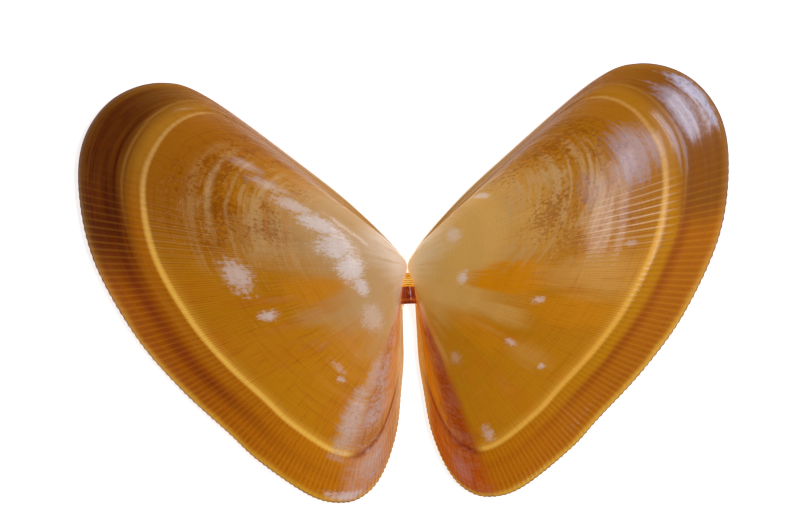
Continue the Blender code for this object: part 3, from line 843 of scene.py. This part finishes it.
def addRing(mesh, centre, acrossWay, upWay, halfWidth, halfHeight, sides):
    ring = []
    for i in range(sides):
        turn = 2 * math.pi * i / sides
        point = centre + acrossWay * (halfWidth * math.cos(turn)) + upWay * (halfHeight * math.sin(turn))
        ring.append(mesh.verts.new(point * mm))
    return ring


def joinRings(mesh, rings):
    for first, second in zip(rings, rings[1:]):
        for i in range(len(first)):
            j = (i + 1) % len(first)
            mesh.faces.new((first[i], first[j], second[j], second[i]))
    mesh.faces.new(rings[0])
    mesh.faces.new(rings[-1])


def makeLigament(material):
    form = ligamentForm
    mesh = bmesh.new()
    start = form["sections"][0][0]
    end = form["sections"][-1][0]
    across = Vector((1.0, 0.0, 0.0))
    up = Vector((0.0, 0.0, 1.0))
    rings = []
    for row in range(form["rows"] + 1):
        along = start + (end - start) * row / form["rows"]
        halfWidth, foot, crest = blendSections(form["sections"], along)
        for groove in form["leaves"]:
            dent = math.exp(-((along - groove) / 0.028) ** 2) * form["leafDepth"]
            crest -= dent
            halfWidth -= dent * 0.5
        centre = Vector((0.0, along, 0.5 * (foot + crest)))
        rings.append(addRing(mesh, centre, across, up, halfWidth, 0.5 * (crest - foot), form["sides"]))
    joinRings(mesh, rings)
    for first, middle, last, thickness in form["fibres"]:
        rings = []
        for step in range(9):
            t = step / 8
            centre = (Vector(first) * (1 - t) ** 2 + Vector(middle) * (2 * t * (1 - t))
                      + Vector(last) * t ** 2)
            thin = thickness * (1.0 - 0.8 * t)
            rings.append(addRing(mesh, centre, across, up, thin, thin * 0.5, 8))
        joinRings(mesh, rings)
    bmesh.ops.recalc_face_normals(mesh, faces=mesh.faces[:])
    data = bpy.data.meshes.new("hornyLigament")
    mesh.to_mesh(data)
    mesh.free()
    data.shade_smooth()
    data.set_sharp_from_angle(angle=math.radians(40))
    data.materials.append(material)
    ligament = bpy.data.objects.new("horny_ligament", data)
    bpy.context.scene.collection.objects.link(ligament)
    print("ligament", len(data.polygons), "faces")
    return ligament


def ligamentMaterial():
    t = ligamentTones
    material = bpy.data.materials.new("hornyLigament")
    material.use_nodes = True
    shader = material.node_tree.nodes["Principled BSDF"]
    flow = Flow(material.node_tree)
    mix = flow.mixColour
    flow.node("ShaderNodeTexCoord")
    where = flow.vectorMath("SCALE", flow.output("Object"), scale=1000.0)
    x, y, z = flow.parts(where)
    grain = flow.noise(flow.vector(x * 1.6, y * 7.0, z), 1.0, 3.0, 0.6)
    strands = flow.noise(flow.vector(x * 9.0, y * 1.5, z * 2.0), 1.0, 3.0, 0.6)
    leaf = mix(flow.step(grain, 0.40, 0.60), t["amber"], t["pale"])
    for groove in ligamentForm["leaves"]:
        leaf = mix(flow.bump(y + (grain - 0.5) * 0.05, groove, 0.05) * 0.85, leaf, t["groove"])
    block = mix(flow.step(strands, 0.42, 0.62), t["dark"], t["red"])
    block = mix(flow.bump(y + (grain - 0.5) * 0.08, -0.98, 0.16) * 0.8, block, t["brown"])
    glint = flow.bump(x + y * 0.22, -0.10, 0.05) * flow.bump(y, -0.42, 0.32)
    block = mix(glint * 0.6, block, t["glint"])
    block = mix(flow.step(y, -1.17, -1.22) * 0.7, block, t["dark"])
    block = mix(flow.step(y, -1.262, -1.285), block, t["end"])
    colour = mix(flow.step(y + (grain - 0.5) * 0.04, 0.03, -0.03), leaf, block)
    colour = mix(flow.step(y, -1.315, -1.34), colour, t["fibre"])
    flow.feed(shader.inputs["Base Color"], colour)
    flow.feed(shader.inputs["Emission Color"], colour)
    flow.feed(shader.inputs["Roughness"], t["roughness"] + (grain - 0.5) * 0.15)
    flow.feed(shader.inputs["Normal"], flow.node(
        "ShaderNodeBump", {}, {"Strength": 0.4, "Distance": 0.00005,
                               "Height": grain * 0.6 + strands * 0.4}))
    # painted backlight: the ligament glows with its own colour
    shader.inputs["Emission Strength"].default_value = t["glow"]
    shader.inputs["Coat Weight"].default_value = t["coat"]
    shader.inputs["Coat Roughness"].default_value = 0.08
    return material


makeStudio()
valveTree = buildValveTree()
margin = edgeCurve()
for name, side, seed, tones in (("left_valve", -1.0, 3.0, leftTones),
                                ("right_valve", 1.0, 11.0, rightTones)):
    shell = shellMaterial(name + "_shell", tones)
    valve = makeValve(name + "_shell", valveTree, margin, side, seed, shell)
    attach(valve, "root")
    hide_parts(name)

ligament = makeLigament(ligamentMaterial())
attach(ligament, "root")
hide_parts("ligament")
